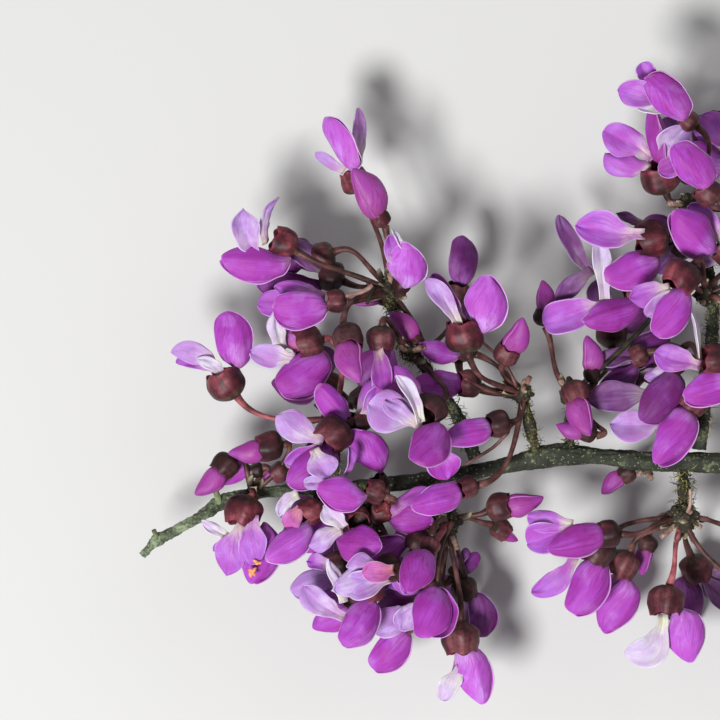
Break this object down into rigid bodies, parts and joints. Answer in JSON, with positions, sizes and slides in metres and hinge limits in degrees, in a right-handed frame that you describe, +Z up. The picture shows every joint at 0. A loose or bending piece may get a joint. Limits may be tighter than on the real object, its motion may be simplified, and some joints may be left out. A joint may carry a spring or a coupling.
{
  "type": "cut flowering redbud branch",
  "caption": "Cut branch with a bare tapering stem, two side shoots and clusters of pea-shaped blooms and buds on thin stalks, lying on its lower blooms.",
  "frame": {"origin": "on the floor under the middle of the branch's outline, as it lies", "axes": "+X along the main stem towards its thick cut end, +Y across it towards the tips of the two side shoots, +Z up"},
  "size_m": [0.1162, 0.0916, 0.0334],
  "materials": {
    "bark": "matt grey-green bark with pale specks",
    "bud_cluster": "matt petals and soft red-brown calyxes on scaly spurs",
    "bloom": "matt petals with a slight sheen"
  },
  "bodies": {
    "root": {"main_stem": "bark", "left_branch": "bark", "right_branch": "bark", "spur_upper_left": "bud_cluster", "spur_upper_mid": "bud_cluster", "spur_centre": "bud_cluster", "spur_left": "bud_cluster", "spur_low": "bud_cluster", "spur_low_right": "bud_cluster", "spur_right_mid": "bud_cluster", "spur_far_top": "bud_cluster", "spur_far_upper": "bud_cluster", "spur_far_mid": "bud_cluster", "spur_twig": "bud_cluster", "spur_low_left": "bud_cluster", "spur_stem_right": "bud_cluster", "spur_end": "bud_cluster", "bloom_01": "bloom", "bloom_02": "bloom", "bloom_03": "bloom", "bloom_04": "bloom", "bloom_05": "bloom", "bloom_06": "bloom", "bloom_07": "bloom", "bloom_08": "bloom", "bloom_09": "bloom", "bloom_10": "bloom", "bloom_11": "bloom", "bloom_12": "bloom", "bloom_13": "bloom", "bloom_14": "bloom", "bloom_15": "bloom", "bloom_16": "bloom", "bloom_17": "bloom", "bloom_18": "bloom", "bloom_19": "bloom", "bloom_20": "bloom", "bloom_21": "bloom", "bloom_22": "bloom", "bloom_23": "bloom", "bloom_24": "bloom", "bloom_25": "bloom", "bloom_26": "bloom", "bloom_27": "bloom", "bloom_28": "bloom", "bloom_29": "bloom", "bloom_30": "bloom", "bloom_31": "bloom", "bloom_32": "bloom", "bloom_33": "bloom", "bloom_34": "bloom", "bloom_35": "bloom", "bloom_36": "bloom", "bloom_37": "bloom", "bloom_38": "bloom", "bloom_39": "bloom", "bloom_40": "bloom", "bloom_41": "bloom", "bloom_42": "bloom", "bloom_43": "bloom"}
  },
  "joints": []
}
